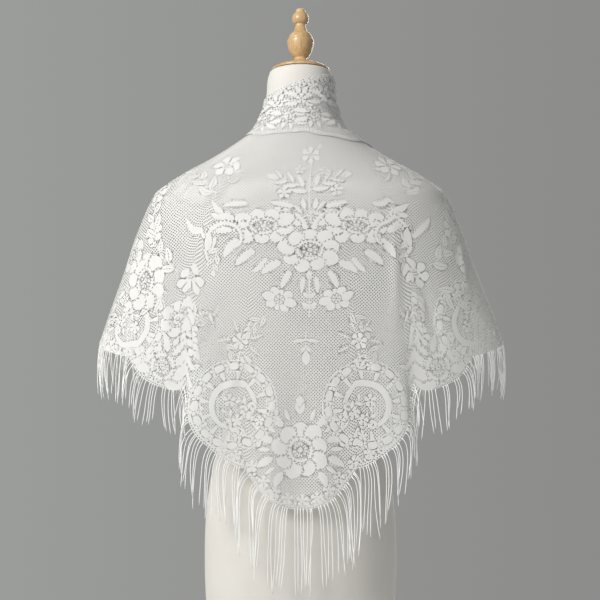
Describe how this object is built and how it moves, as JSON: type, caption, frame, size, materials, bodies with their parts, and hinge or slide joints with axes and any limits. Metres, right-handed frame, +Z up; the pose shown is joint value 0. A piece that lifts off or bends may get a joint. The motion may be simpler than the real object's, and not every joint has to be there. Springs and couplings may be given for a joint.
{
  "type": "lace shawl on a dress form",
  "caption": "Triangular white lace shawl with scalloped, fringed hem and turned-down neck edge, worn on a limbless tabletop dress form with a wooden finial.",
  "frame": {"origin": "on the table, under the middle of the base plate", "axes": "+Z up; -Y is the way the shawl's back faces, towards the picture's camera; +Y is its open front; +X is the picture's right"},
  "size_m": [0.6212, 0.3178, 1.1537],
  "materials": {
    "form_cover": "smooth stretch jersey, warm white",
    "turned_beech": "clear satin lacquer",
    "painted_steel": "off-white satin paint",
    "white_lace": "matt white cotton lace",
    "fringe_thread": "white thread with a slight sheen"
  },
  "bodies": {
    "root": {"base": "painted_steel", "finial": "turned_beech", "form_torso": "form_cover", "fringe_back": "fringe_thread", "fringe_wing_left": "fringe_thread", "fringe_wing_right": "fringe_thread", "neck_cap": "turned_beech", "post": "painted_steel", "shawl_back": "white_lace", "shawl_collar": "white_lace", "shawl_wing_left": "white_lace", "shawl_wing_right": "white_lace"}
  },
  "joints": []
}
